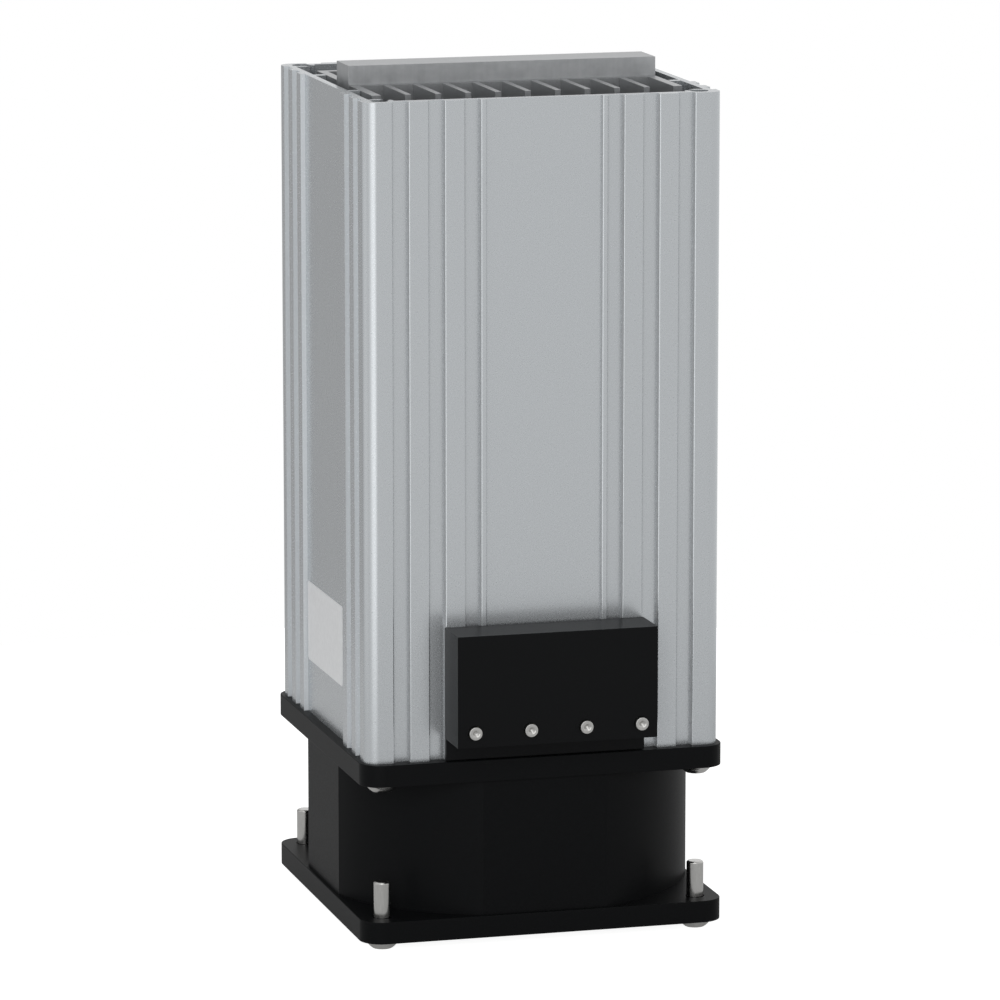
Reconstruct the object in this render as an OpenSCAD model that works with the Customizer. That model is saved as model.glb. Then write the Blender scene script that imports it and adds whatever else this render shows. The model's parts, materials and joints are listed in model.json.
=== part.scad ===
// Fan heater for electrical cabinets: a fan blows air up through a finned aluminium chimney.
// Origin on the fan axis at the underside of the lower fan flange, +Z up, front towards -Y. Millimetres.

/* [Fan frame] */
// Side of the two square fan flanges
fan_w = 80; // [79:0.5:90]
// Height of the fan over both flanges
fan_h = 38.8; // [37:0.1:46]
// Thickness of each fan flange
flange_t = 4.75; // [3:0.05:5.2]
// Corner radius of the fan flanges
flange_r = 4.8; // [2:0.1:6]
// Wall that a flange keeps round each screw hole
ear_wall = 2.4; // [1.5:0.1:3]
// Outer radius of the fan barrel
barrel_r = 41.45; // [40.5:0.05:43]
// Wall between the barrel's round sides and the air bore
barrel_wall = 3.45; // [3.2:0.05:4.5]
// How far the four flats cut into the barrel
flat_cut = 2.35; // [1:0.05:2.6]
// How far the bore widens at the inlet
inlet_flare = 1; // [0.4:0.1:1.2]
// Width of the four struts that carry the motor
strut_w = 3.6; // [3:0.1:6]
// Height of the struts
strut_h = 2.5; // [1.5:0.1:3]

/* [Fan motor] */
// Radius of the motor base
motor_base_r = 18.6; // [16:0.1:20]
// Thickness of the motor base
motor_base_t = 3.9; // [3.5:0.1:4.5]
// How far the motor base lies below the top of the fan
motor_base_drop = 1; // [0.5:0.1:2]
// Length of the bearing tube below the motor base
bearing_tube_l = 20; // [18.5:0.1:21]
// Outer radius of the bearing tube
bearing_tube_r = 4.4; // [4:0.1:5]
// Outer radius of the two bearings
bearing_r = 3; // [2.6:0.1:3.4]
// Length of each bearing
bearing_l = 5; // [3:0.1:7]
// Radius of the shaft
shaft_r = 1.5; // [1.2:0.05:1.8]
// Outer radius of the stator core
stator_r = 16.2; // [15.4:0.1:16.6]
// Height of the stator core
stator_h = 12; // [9:0.1:12.5]
// Width of each stator pole neck
pole_neck_w = 6; // [4:0.1:7]
// Thickness of the wire wound round a pole
coil_t = 2.2; // [1.2:0.1:2.3]
// Air gap between stator and rotor
air_gap = 0.4; // [0.3:0.05:0.8]
// Thickness of the rotor ring
rotor_ring_t = 1.05; // [0.8:0.05:1.5]
// Wall of the rotor cup
rotor_cup_t = 1.2; // [0.8:0.1:1.5]

/* [Impeller] */
// Wall of the impeller hub
hub_wall = 2.2; // [1.5:0.1:3]
// Number of blades
blade_count = 7; // [5:1:8]
// Thickness of a blade
blade_t = 1.5; // [1:0.1:2]
// Chord length of a blade
blade_chord = 25; // [18:0.5:26]
// Angle of the blade's chord to the fan plane
blade_pitch = 48; // [40:1:52]
// Radius of the blade's camber
blade_camber_r = 28; // [20:0.5:60]
// Gap between the blade tips and the bore
tip_gap = 0.8; // [0.5:0.1:2]

/* [Housing profile] */
// Width of the housing over its ridges
housing_w = 78; // [77.4:0.1:80]
// Depth of the housing over its ridges
housing_d = 76; // [75.6:0.1:80]
// Length of the housing
housing_h = 140.4; // [110:0.1:220]
// Corner radius of the housing
housing_r = 2.8; // [1.5:0.1:3]
// Wall of the housing behind its grooves
housing_wall = 1.5; // [1.4:0.05:1.9]
// Depth of the grooves on the front and rear
groove_depth = 1.4; // [0.8:0.05:1.5]
// Depth of the plain field on the front and rear
front_field_depth = 0.9; // [0.4:0.05:1.1]
// Depth of the grooves and the plain field on the sides
side_groove_depth = 1; // [0.6:0.05:1.2]
// Width of the plain field on the front and rear
front_field = 25.2; // [20:0.1:25.6]
// Width of the narrow rib beside the front field
rib_w = 1.25; // [1:0.05:1.5]
// Width of the ridges on the front and rear
ridge_w = 4.4; // [3.6:0.1:4.6]
// Width of the grooves on the front and rear
groove_w = 3.4; // [2.6:0.1:3.5]
// Width of the plain field on the sides
side_field = 35.3; // [30:0.1:36]
// Width of the ridges on the sides
side_ridge_w = 3.45; // [2.6:0.05:3.6]
// Width of the grooves on the sides
side_groove_w = 4.1; // [3:0.1:4.3]
// Wall of the screw ports in the corners
port_wall = 1.2; // [1:0.1:1.6]
// Distance of the screw ports from the housing's sides
port_edge_side = 4.2; // [3.8:0.1:6]
// Distance of the screw ports from the housing's front and rear
port_edge_front = 3.4; // [3.2:0.1:6]
// Width of the slot along a screw port
port_slot_w = 1.8; // [1:0.1:2.2]
// Thickness of the guide tabs on the side walls
guide_t = 2; // [1:0.1:3]
// Distance of the guide tabs from the middle
guide_y = 15; // [9:0.1:18]

/* [Heat sink halves] */
// Gap between the two finned heat sink halves and the housing's sides
core_gap = 2.5; // [1:0.05:6]
// Thickness of the wall that clamps the heating bar
core_base_t = 1.4; // [1:0.1:2.5]
// Distance between the fins
fin_pitch = 6.53; // [5:0.01:9]
// Thickness of the inner fins
fin_t = 1.3; // [0.9:0.05:1.8]
// Thickness of the two end fins
end_fin_t = 2; // [1.5:0.1:3]
// Least gap between an end fin and the fin beside it
end_fin_gap = 1; // [0.8:0.1:3]
// Distance of the front fin tips from the bar's middle
fin_reach_front = 25; // [22:0.1:29]
// Distance of the rear plate's outer face from the bar's middle
fin_reach_rear = 23; // [20:0.1:28]
// Thickness of the rear plate
rear_plate_t = 2; // [1.2:0.1:3]
// Width of the two lead notches in the front half
notch_w = 4; // [3:0.1:4.6]
// Height of the lead notches
notch_h = 20; // [18:0.5:22]

/* [Heating bar] */
// Thickness of the heating bar
bar_t = 10.4; // [9.6:0.1:12]
// How far the bar stands out of the housing
bar_out = 4.1; // [1:0.1:10]
// Height of the bar's lower end above the fan
bar_foot = 23.2; // [22.6:0.1:30]
// Wall of the bar's tube
bar_wall = 1.2; // [0.9:0.1:1.5]
// Thickness of the insulating sleeve
sleeve_t = 0.5; // [0.2:0.05:0.6]
// Thickness of an electrode plate
electrode_t = 0.5; // [0.3:0.05:0.8]
// Rows of heating stones
stone_rows = 6; // [3:1:6]
// Distance of the heating stones from the sleeve's narrow sides
stone_margin = 3.75; // [1.5:0.05:8]
// Gap between the two columns of stones
stone_gap = 1; // [0.5:0.1:2]
// Height of a heating stone
stone_h = 15; // [10:0.5:16]
// Height of the plug in the bar's lower end
plug_h = 5; // [3:0.1:7]

/* [Terminal box] */
// Number of terminals
pole_count = 4; // [4:2:4]
// Distance between the terminals
pole_pitch = 12.15; // [11.5:0.05:13]
// Height of the terminal cover
box_h = 23.9; // [22:0.1:28]
// Depth of the terminal cover
box_d = 9.55; // [9.3:0.05:14]
// Height of the cover's lower edge above the fan
box_foot = 4.8; // [4.5:0.1:5.4]
// Wall of the terminal cover
box_wall = 1.2; // [1:0.1:1.4]
// Thickness of the plate behind the cover
base_plate_t = 1.2; // [0.8:0.1:1.6]
// Height of the plate's lower edge above the fan
base_plate_foot = 0.1; // [0.1:0.1:2]
// Width of a clamp block
clamp_w = 4.6; // [4.2:0.1:5]
// Height of a clamp block
clamp_h = 6.1; // [5:0.1:6.5]
// Radius of the wire hole through a clamp block
clamp_hole_r = 1.7; // [1.2:0.05:1.8]
// Radius of the wire entries in the cover's floor
wire_entry_r = 1.9; // [1.8:0.05:2]
// Height of the terminal screws above the cover's lower edge
terminal_screw_z = 3.25; // [3:0.05:3.6]
// Radius of a terminal screw's head
terminal_head_r = 1.4; // [1.35:0.05:1.8]
// How far a terminal screw stands out of the cover
terminal_head_out = 1.2; // [0.4:0.1:2]
// Rim round the dimple in a terminal screw's head
dimple_rim = 0.6; // [0.3:0.05:0.9]
// Depth of the dimple
dimple_depth = 0.45; // [0.2:0.05:0.8]
// Radius of the dimple's floor
dimple_floor_r = 0.25; // [0.1:0.05:0.4]
// Radius of a terminal screw's shank
terminal_shank_r = 1.2; // [0.9:0.05:1.3]

/* [Leads] */
// Radius of the inner leads
lead_r = 0.9; // [0.6:0.05:1]
// Height of the lead pass through the front wall above the fan
lead_pass = 16.2; // [15.8:0.1:16.8]
// Height of the slot for the leads
lead_slot_h = 6; // [4:0.1:7]
// Width of the slot for the leads
lead_slot_w = 22.4; // [21:0.1:23.4]
// Distance of the two fan leads from the middle
fan_lead_x = 8; // [7:0.1:8.4]
// Width of the thermal cut-out
cutout_w = 16; // [10:0.5:20]
// Depth of the thermal cut-out
cutout_d = 8; // [5:0.1:10]
// Height of the thermal cut-out
cutout_h = 9; // [6:0.5:10]
// Distance of the thermal cut-out from the middle
cutout_x = 20; // [16:0.5:22]

/* [Rail clip] */
// Height of the rail's middle above the fan
clip_up = 75; // [40:1:90]
// Width of the rail that the clip holds
rail_w = 35; // [35:0.1:35.4]
// Thickness of the rail's lips
rail_lip_t = 1; // [0.8:0.1:1.5]
// Width of the rail clip
clip_w = 30; // [28:0.5:40]
// Thickness of the rail clip's plate
clip_t = 2; // [1.5:0.1:3]
// Thickness of the rail clip's hooks
hook_t = 2; // [1.2:0.1:3]
// How far each hook reaches over the rail's lip
hook_reach = 2; // [1:0.1:3]
// Length of the release tab below the lower hook
release_l = 10; // [5:0.5:15]
// Distance between the two clip screws
clip_screw_pitch = 16; // [10:0.5:22]

/* [Screws] */
// Radius of the flange and port screws
screw_r = 1.825; // [1.6:0.025:1.9]
// Radius of their heads
screw_head_r = 3.4; // [2.9:0.05:3.7]
// Height of their heads
screw_head_h = 1.9; // [1.5:0.1:2.4]
// Radius of the flat end of a head
screw_head_flat_r = 2.1; // [1.7:0.05:2.3]
// Height of the straight rim of a head
screw_head_rim = 0.5; // [0.2:0.05:0.9]
// Radius of the six-sided socket in a head
socket_r = 1.25; // [0.9:0.05:1.5]
// Depth of the socket
socket_depth = 1; // [0.5:0.05:1.2]
// How far the lower screws stand above the lower flange
screw_stand = 7.8; // [4:0.1:12]
// How far the upper screws reach into the housing's ports
port_screw_l = 12; // [6:0.5:20]
// Bevel at the end of a screw
screw_bevel = 0.3; // [0.1:0.05:0.6]
// Radius of the small countersunk screws
small_screw_r = 1.25; // [1:0.05:1.4]
// Radius of their heads
small_head_r = 2.3; // [2:0.05:2.4]
// Depth of their countersunk heads
small_head_h = 1; // [0.8:0.05:1.1]
// How far they stand inside the housing wall
small_screw_in = 2.5; // [1:0.1:4]

/* [Clearances] */
// Gap round pieces that slide into each other
slide_gap = 0.15; // [0.05:0.01:0.3]
// Gap round pieces that are pressed or moulded into each other
seat_gap = 0.05; // [0.02:0.01:0.08]
// Gap between shaft and bearing
run_gap = 0.05; // [0.02:0.01:0.1]
// Axial play of the rotor
axial_play = 0.4; // [0.3:0.05:0.6]
// Gap round a screw in a plain hole
screw_gap = 0.15; // [0.1:0.01:0.2]
// Gap round a screw in its threaded hole
thread_gap = 0.075; // [0.05:0.005:0.1]

/* [Hidden] */
$fn = 64;
// Overlap that lets a cut run past a face
cut = 1;
// Overlap of a shallow cut that starts at a face
skim = 0.01;
// How much the round of a lead's bend is thicker than the lead
bend_swell = 0.03;

// Housing levels and faces
housing_top = fan_h + housing_h;
housing_front = housing_d / 2;
inner_w = housing_w - 2 * (side_groove_depth + housing_wall);
inner_d = housing_d - 2 * (groove_depth + housing_wall);
screw_x = housing_w / 2 - port_edge_side;
screw_y = housing_d / 2 - port_edge_front;
port_bore_r = screw_r + thread_gap;
front_starts = [for (i = [0:2]) front_field / 2 + rib_w + i * (groove_w + ridge_w)];
side_starts = [for (i = [0:1]) side_field / 2 + side_ridge_w + i * (side_groove_w + side_ridge_w)];

// Heat sink and heating bar
core_w = inner_w - 2 * core_gap;
channel_half = bar_t / 2 + slide_gap;
fin_room = core_w / 2 - end_fin_t - fin_t / 2 - end_fin_gap;
fin_side_count = floor(fin_room / fin_pitch);
fin_places = [for (i = [-fin_side_count : fin_side_count]) i * fin_pitch];
lead_gap_x = fin_pitch / 2;
bar_w = core_w;
bar_z0 = fan_h + bar_foot;
bar_z1 = housing_top + bar_out;
bar_cap_t = 2 * bar_wall;
cavity_w = bar_w - 2 * bar_wall;
cavity_t = bar_t - 2 * bar_wall;
sleeve_w = cavity_w - 2 * seat_gap;
sleeve_d = cavity_t - 2 * seat_gap;
electrode_face = sleeve_d / 2 - sleeve_t - seat_gap;
stone_half = electrode_face - electrode_t;
inner_z0 = bar_z0 + plug_h;
inner_z1 = bar_z1 - bar_cap_t;
stone_step = (inner_z1 - inner_z0 - 2 * seat_gap) / stone_rows;
stone_w = (sleeve_w - 2 * sleeve_t - 2 * stone_margin - stone_gap) / 2;
electrode_w = 2 * stone_w + 2 * stone_gap;

// Terminal box, measured outwards from the housing's front ridges
pole_places = [for (i = [0 : pole_count - 1]) (i - (pole_count - 1) / 2) * pole_pitch];
inner_pole_x = pole_pitch / 2;
outer_pole_x = (pole_count - 1) / 2 * pole_pitch;
pole_margin = clamp_w / 2 + slide_gap + box_wall;
box_w = (pole_count - 1) * pole_pitch + 2 * pole_margin;
box_z0 = fan_h + box_foot;
box_z1 = box_z0 + box_h;
box_back = housing_front + base_plate_t;
box_front = box_back + box_d;
box_floor = box_z0 + box_wall;
clamp_front = box_front - box_wall;
clamp_d = box_d - box_wall - 2 * slide_gap;
clamp_top = box_floor + clamp_h;
wire_y = clamp_front - clamp_d / 2 - slide_gap;
terminal_z = box_z0 + terminal_screw_z;
fixing_z = box_z1 - 2 * small_head_r - box_wall;
partition_t = box_wall;

// Lead levels
lead_z = fan_h + lead_pass;
lead_turn_y = box_back + 2 * lead_r;
lead_end_z = box_floor + clamp_h / 2;
fan_lead_y = (fin_reach_front + inner_d / 2) / 2;

// Fan barrel
barrel_flat = barrel_r - flat_cut;
bore_r = barrel_r - barrel_wall;
screw_hole_r = screw_r + screw_gap;

// Small sizes of the motor
bearing_proud = 1.2;
clip_ring_t = 0.5;
clip_ring_step = 0.2;
clip_groove_depth = 0.3;
shaft_end = 0.5;
cap_t = 0.8;
cap_ledge = 0.8;
stator_drop = 3.2;
stator_ring_t = 3;
shoe_t = 2.6;
shoe_half_angle = 38;
coil_root_gap = 0.6;
coil_shoe_gap = 0.2;
cup_boss_h = 2.9;
cup_boss_taper = 1;
rotor_drop = 2.4;
rotor_ring_over = 1;
blade_lift = 0.6;
strut_root = 0.5;

// Motor levels, measured down from the top of the fan
base_z1 = fan_h - motor_base_drop;
base_z0 = base_z1 - motor_base_t;
strut_z1 = base_z0 + strut_h;
tube_z0 = base_z0 - bearing_tube_l;
upper_bearing_z1 = base_z0 + bearing_proud;
lower_bearing_z0 = tube_z0;
bearing_seat_r = bearing_r + seat_gap;
bearing_shoulder_r = (bearing_r + shaft_r) / 2;
clip_z0 = upper_bearing_z1 + axial_play;
clip_ring_r = bearing_r - clip_ring_step;
groove_r = shaft_r - clip_groove_depth;
shaft_z1 = clip_z0 + clip_ring_t + shaft_end;
cap_well_r = bearing_r + cap_ledge;
stator_z0 = base_z0 - stator_h - coil_t - stator_drop;
stator_ring_r = bearing_tube_r + stator_ring_t;
shoe_inner_r = stator_r - shoe_t;
coil_outer = pole_neck_w / 2 + seat_gap + coil_t;
coil_start = stator_ring_r + coil_root_gap;
coil_end = sqrt(pow(shoe_inner_r - coil_shoe_gap, 2) - pow(coil_outer, 2));
ring_inner_r = stator_r + air_gap;
ring_outer_r = ring_inner_r + rotor_ring_t;
cup_inner_r = ring_outer_r + seat_gap;
cup_outer_r = cup_inner_r + rotor_cup_t;
cup_boss_z1 = tube_z0 - axial_play;
cup_floor_z1 = cup_boss_z1 - cup_boss_h;
cup_floor_z0 = cup_floor_z1 - rotor_cup_t;
rotor_z1 = base_z0 - rotor_drop;
hub_inner_r = cup_outer_r + seat_gap;
hub_outer_r = hub_inner_r + hub_wall;
hub_z0 = cup_floor_z0 - hub_wall;
blade_tip_r = bore_r - tip_gap;
blade_root_r = hub_outer_r - hub_wall / 2;
blade_z = (hub_z0 + rotor_z1) / 2 + blade_lift;

// Rail clip
clip_z = fan_h + clip_up;
hook_inner = rail_w / 2 + slide_gap;
hook_gap = rail_lip_t + 2 * slide_gap;

// Plan of a rectangle with rounded corners
module rounded_rect(w, d, r) {
    square([w - 2 * r, d], center = true);
    square([w, d - 2 * r], center = true);
    for (x = [-1, 1], y = [-1, 1])
        translate([x * (w / 2 - r), y * (d / 2 - r)])
            circle(r);
}

// Upright slot with round ends, cut or filled along Y from y0 to y1
module slot_y(w, h, y0, y1) {
    translate([0, y1, 0])
        rotate([90, 0, 0])
            linear_extrude(y1 - y0) {
                square([w - h, h], center = true);
                for (x = [-1, 1])
                    translate([x * (w - h) / 2, 0])
                        circle(h / 2);
            }
}

// Round rod or hole between two points
module rod(a, b, r) {
    v = b - a;
    l = norm(v);
    translate(a)
        rotate([0, acos(v[2] / l), atan2(v[1], v[0])])
            cylinder(h = l, r = r);
}

// Insulated lead through a row of points
module lead(points) {
    for (i = [0 : len(points) - 2])
        rod(points[i], points[i + 1], lead_r);
    for (i = [1 : len(points) - 2])
        translate(points[i])
            sphere(lead_r + bend_swell);
}

// Children repeated at the four screws of a flange
module at_flange_screws() {
    for (x = [-1, 1], y = [-1, 1])
        translate([x * screw_x, y * screw_y, 0])
            children();
}

// Grooves and plain field of one housing face, for a face at the distance half along +Y
module face_grooves(half, field, field_depth, starts, width, depth) {
    translate([-field / 2, half - field_depth])
        square([field, field_depth + cut]);
    for (start = starts, side = [0, 1])
        mirror([side, 0])
            translate([start, half - depth])
                square([width, depth + cut]);
}

// Screw port in the corner towards +X and +Y
module port_boss() {
    translate([screw_x, screw_y]) {
        circle(port_bore_r + port_wall);
        square([housing_w, housing_d]);
    }
}

module port_hole() {
    translate([screw_x, screw_y]) {
        circle(port_bore_r);
        rotate(225)
            translate([0, -port_slot_w / 2])
                square([port_bore_r + 2 * port_wall, port_slot_w]);
    }
}

// Clear space inside the housing, less the screw ports and guide tabs
module housing_void() {
    tab_end = core_w / 2 + slide_gap;
    difference() {
        square([inner_w, inner_d], center = true);
        for (x = [0, 1], y = [0, 1])
            mirror([x, 0])
                mirror([0, y])
                    port_boss();
        for (x = [0, 1], y = [-1, 1])
            mirror([x, 0])
                translate([tab_end, y * guide_y - guide_t / 2])
                    square([housing_w, guide_t]);
    }
}

// Cross section of the extruded housing
module housing_section() {
    difference() {
        rounded_rect(housing_w, housing_d, housing_r);
        housing_void();
        for (turn = [0, 180])
            rotate(turn)
                face_grooves(housing_d / 2, front_field, front_field_depth,
                    front_starts, groove_w, groove_depth);
        for (turn = [90, 270])
            rotate(turn)
                face_grooves(housing_w / 2, side_field, side_groove_depth,
                    side_starts, side_groove_w, side_groove_depth);
        for (x = [0, 1], y = [0, 1])
            mirror([x, 0])
                mirror([0, y])
                    port_hole();
    }
}

module housing_profile() {
    pilot_r = small_screw_r + thread_gap;
    color("silver")
        difference() {
            translate([0, 0, fan_h])
                linear_extrude(housing_h)
                    housing_section();
            translate([0, 0, lead_z])
                slot_y(lead_slot_w, lead_slot_h, -housing_front - cut, -inner_d / 2 + cut);
            for (x = [-1, 1])
                rod([x * outer_pole_x, -housing_front - cut, fixing_z],
                    [x * outer_pole_x, -inner_d / 2 + cut, fixing_z], pilot_r);
            for (z = [-1, 1])
                rod([0, inner_d / 2 - cut, clip_z + z * clip_screw_pitch / 2],
                    [0, housing_front + cut, clip_z + z * clip_screw_pitch / 2], pilot_r);
        }
}

// Fins of one heat sink half, from the clamping wall to the given reach
module fin_row(reach) {
    root = channel_half + core_base_t / 2;
    for (x = fin_places)
        translate([x - fin_t / 2, root])
            square([fin_t, reach - root]);
    for (x = [-core_w / 2, core_w / 2 - end_fin_t])
        translate([x, channel_half])
            square([end_fin_t, reach - channel_half]);
    translate([end_fin_t / 2 - core_w / 2, channel_half])
        square([core_w - end_fin_t, core_base_t]);
}

module heat_sink_front() {
    color("darkgray")
        difference() {
            translate([0, 0, fan_h])
                linear_extrude(housing_h)
                    mirror([0, 1])
                        fin_row(fin_reach_front);
            for (x = [-1, 1])
                translate([x * lead_gap_x, -channel_half - core_base_t / 2, fan_h - cut])
                    linear_extrude(notch_h + cut)
                        square([notch_w, core_base_t + 2 * cut], center = true);
        }
}

module heat_sink_rear() {
    color("darkgray")
        translate([0, 0, fan_h])
            linear_extrude(housing_h) {
                fin_row(fin_reach_rear - rear_plate_t / 2);
                translate([-core_w / 2, fin_reach_rear - rear_plate_t])
                    square([core_w, rear_plate_t]);
            }
}

module heater_tube() {
    color("lightgray")
        translate([0, 0, bar_z0])
            difference() {
                translate([-bar_w / 2, -bar_t / 2, 0])
                    cube([bar_w, bar_t, bar_z1 - bar_z0]);
                translate([-cavity_w / 2, -cavity_t / 2, -cut])
                    cube([cavity_w, cavity_t, inner_z1 - bar_z0 + cut]);
            }
}

module insulation_sleeve() {
    color("goldenrod")
        translate([0, 0, inner_z0])
            linear_extrude(inner_z1 - inner_z0)
                difference() {
                    square([sleeve_w, sleeve_d], center = true);
                    square([sleeve_w - 2 * sleeve_t, sleeve_d - 2 * sleeve_t], center = true);
                }
}

module electrode_plates() {
    color("gainsboro")
        for (y = [0, 1])
            mirror([0, y, 0])
                translate([-electrode_w / 2, stone_half, inner_z0])
                    cube([electrode_w, electrode_t, inner_z1 - inner_z0 - seat_gap]);
}

module heating_stones() {
    color("dimgray")
        for (row = [0 : stone_rows - 1], x = [-1, 1])
            translate([x * (stone_w + stone_gap) / 2, 0, inner_z0 + row * stone_step])
                linear_extrude(min(stone_h, stone_step))
                    square([stone_w, 2 * stone_half], center = true);
}

module heater_end_plug() {
    color("ivory")
        difference() {
            translate([-sleeve_w / 2, -sleeve_d / 2, bar_z0])
                cube([sleeve_w, sleeve_d, plug_h]);
            for (x = [-lead_gap_x, cutout_x])
                translate([x, 0, bar_z0 - cut])
                    cylinder(h = plug_h + 2 * cut, r = lead_r + seat_gap);
        }
}

// Leads from the bar to the two middle terminals, one of them through the thermal cut-out
module heater_leads() {
    cutout_top = lead_z + cutout_h / 2 - lead_r;
    to_terminal = [
        [lead_gap_x, -lead_turn_y, lead_z],
        [inner_pole_x, -wire_y, lead_z],
        [inner_pole_x, -wire_y, lead_end_z]
    ];
    color("firebrick") {
        lead(concat([[cutout_x - cutout_w / 2, 0, lead_z], [lead_gap_x, 0, lead_z]], to_terminal));
        mirror([1, 0, 0])
            lead(concat([[lead_gap_x, 0, inner_z0], [lead_gap_x, 0, lead_z]], to_terminal));
        rod([cutout_x, 0, cutout_top], [cutout_x, 0, inner_z0], lead_r);
    }
}

module thermal_cutout() {
    color("tan")
        translate([cutout_x - cutout_w / 2, -channel_half, lead_z - cutout_h / 2 - lead_r])
            cube([cutout_w, cutout_d, cutout_h]);
}

// Cross section of the fan barrel, round with four flats
module barrel_section() {
    intersection() {
        circle(barrel_r);
        square(2 * barrel_flat, center = true);
    }
}

// Square outline of a flange, with a round ear behind each screw hole
module flange_section() {
    rounded_rect(fan_w, fan_w, flange_r);
    at_flange_screws()
        circle(screw_hole_r + ear_wall);
}

module fan_frame() {
    color([0.1, 0.1, 0.11])
        difference() {
            union() {
                difference() {
                    union() {
                        for (z = [0, fan_h - flange_t])
                            translate([0, 0, z])
                                linear_extrude(flange_t)
                                    flange_section();
                        linear_extrude(fan_h)
                            barrel_section();
                    }
                    translate([0, 0, -cut])
                        cylinder(h = fan_h + 2 * cut, r = bore_r);
                    cylinder(h = flange_t, r1 = bore_r + inlet_flare, r2 = bore_r);
                }
                for (turn = [0, 90])
                    rotate(turn)
                        translate([-bore_r - strut_root, -strut_w / 2, base_z0])
                            cube([2 * (bore_r + strut_root), strut_w, strut_h]);
                translate([0, 0, base_z0])
                    cylinder(h = motor_base_t, r = motor_base_r);
                translate([0, 0, tube_z0])
                    cylinder(h = bearing_tube_l + cut, r = bearing_tube_r);
            }
            translate([0, 0, tube_z0 - cut])
                cylinder(h = base_z1 - tube_z0, r = bearing_shoulder_r);
            translate([0, 0, tube_z0 - cut])
                cylinder(h = bearing_l + cut, r = bearing_seat_r);
            translate([0, 0, upper_bearing_z1 - bearing_l])
                cylinder(h = bearing_l + cut, r = bearing_seat_r);
            translate([0, 0, upper_bearing_z1])
                cylinder(h = fan_h, r = cap_well_r);
            for (z = [-cut, fan_h - flange_t - cut])
                translate([0, 0, z])
                    at_flange_screws()
                        cylinder(h = flange_t + 2 * cut, r = screw_hole_r);
        }
}

// Cambered blade, cut from a shell whose axis runs outwards from the hub
module blade() {
    half = blade_chord / 2;
    rise = sqrt(pow(blade_camber_r, 2) - half * half);
    intersection() {
        difference() {
            cylinder(h = fan_h, r = blade_tip_r);
            translate([0, 0, -cut])
                cylinder(h = fan_h + 2 * cut, r = blade_root_r);
        }
        translate([0, 0, blade_z])
            rotate([blade_pitch, 0, 0])
                intersection() {
                    translate([0, 0, -rise])
                        rotate([0, 90, 0])
                            difference() {
                                cylinder(h = bore_r, r = blade_camber_r + blade_t / 2);
                                translate([0, 0, -cut])
                                    cylinder(h = bore_r + 2 * cut, r = blade_camber_r - blade_t / 2);
                            }
                    translate([0, -half, -half])
                        cube([bore_r, 2 * half, 2 * half]);
                }
    }
}

module impeller() {
    nose = hub_wall;
    color([0.14, 0.14, 0.15]) {
        rotate_extrude()
            polygon([
                [0, hub_z0],
                [hub_outer_r - nose, hub_z0],
                [hub_outer_r, hub_z0 + nose],
                [hub_outer_r, rotor_z1],
                [hub_inner_r, rotor_z1],
                [hub_inner_r, cup_floor_z0],
                [0, cup_floor_z0]
            ]);
        for (i = [0 : blade_count - 1])
            rotate(i * 360 / blade_count)
                blade();
    }
}

module rotor_cup() {
    color("slategray")
        rotate_extrude()
            polygon([
                [shaft_r + seat_gap, cup_floor_z0],
                [cup_outer_r, cup_floor_z0],
                [cup_outer_r, rotor_z1],
                [cup_inner_r, rotor_z1],
                [cup_inner_r, cup_floor_z1],
                [bearing_tube_r, cup_floor_z1],
                [bearing_tube_r - cup_boss_taper, cup_boss_z1],
                [shaft_r + seat_gap, cup_boss_z1]
            ]);
}

module rotor_ring() {
    color("gray")
        translate([0, 0, stator_z0 - rotor_ring_over])
            linear_extrude(stator_h + 2 * rotor_ring_over)
                difference() {
                    circle(ring_outer_r);
                    circle(ring_inner_r);
                }
}

module shaft() {
    color("whitesmoke")
        difference() {
            translate([0, 0, cup_floor_z0])
                cylinder(h = shaft_z1 - cup_floor_z0, r = shaft_r);
            translate([0, 0, clip_z0])
                difference() {
                    cylinder(h = clip_ring_t, r = shaft_r + cut);
                    cylinder(h = clip_ring_t, r = groove_r);
                }
        }
}

// One pole of the stator: neck and curved shoe
module stator_pole() {
    translate([0, -pole_neck_w / 2])
        square([(shoe_inner_r + stator_r) / 2, pole_neck_w]);
    intersection() {
        difference() {
            circle(stator_r);
            circle(shoe_inner_r);
        }
        polygon([
            [0, 0],
            [2 * stator_r, -2 * stator_r * tan(shoe_half_angle)],
            [2 * stator_r, 2 * stator_r * tan(shoe_half_angle)]
        ]);
    }
}

module stator_core() {
    color("lightsteelblue")
        translate([0, 0, stator_z0])
            linear_extrude(stator_h)
                difference() {
                    union() {
                        circle(stator_ring_r);
                        for (turn = [45 : 90 : 315])
                            rotate(turn)
                                stator_pole();
                    }
                    circle(bearing_tube_r + seat_gap);
                }
}

module stator_coils() {
    color("peru")
        for (turn = [45 : 90 : 315])
            rotate(turn)
                difference() {
                    translate([coil_start, -coil_outer, stator_z0 - seat_gap - coil_t])
                        cube([coil_end - coil_start, 2 * coil_outer, stator_h + 2 * (seat_gap + coil_t)]);
                    translate([coil_start - cut, -pole_neck_w / 2 - seat_gap, stator_z0 - seat_gap])
                        cube([coil_end, pole_neck_w + 2 * seat_gap, stator_h + 2 * seat_gap]);
                }
}

module bearings() {
    color("darkgoldenrod")
        for (z = [lower_bearing_z0, upper_bearing_z1 - bearing_l])
            translate([0, 0, z])
                difference() {
                    cylinder(h = bearing_l, r = bearing_r);
                    translate([0, 0, -cut])
                        cylinder(h = bearing_l + 2 * cut, r = shaft_r + run_gap);
                }
}

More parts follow.
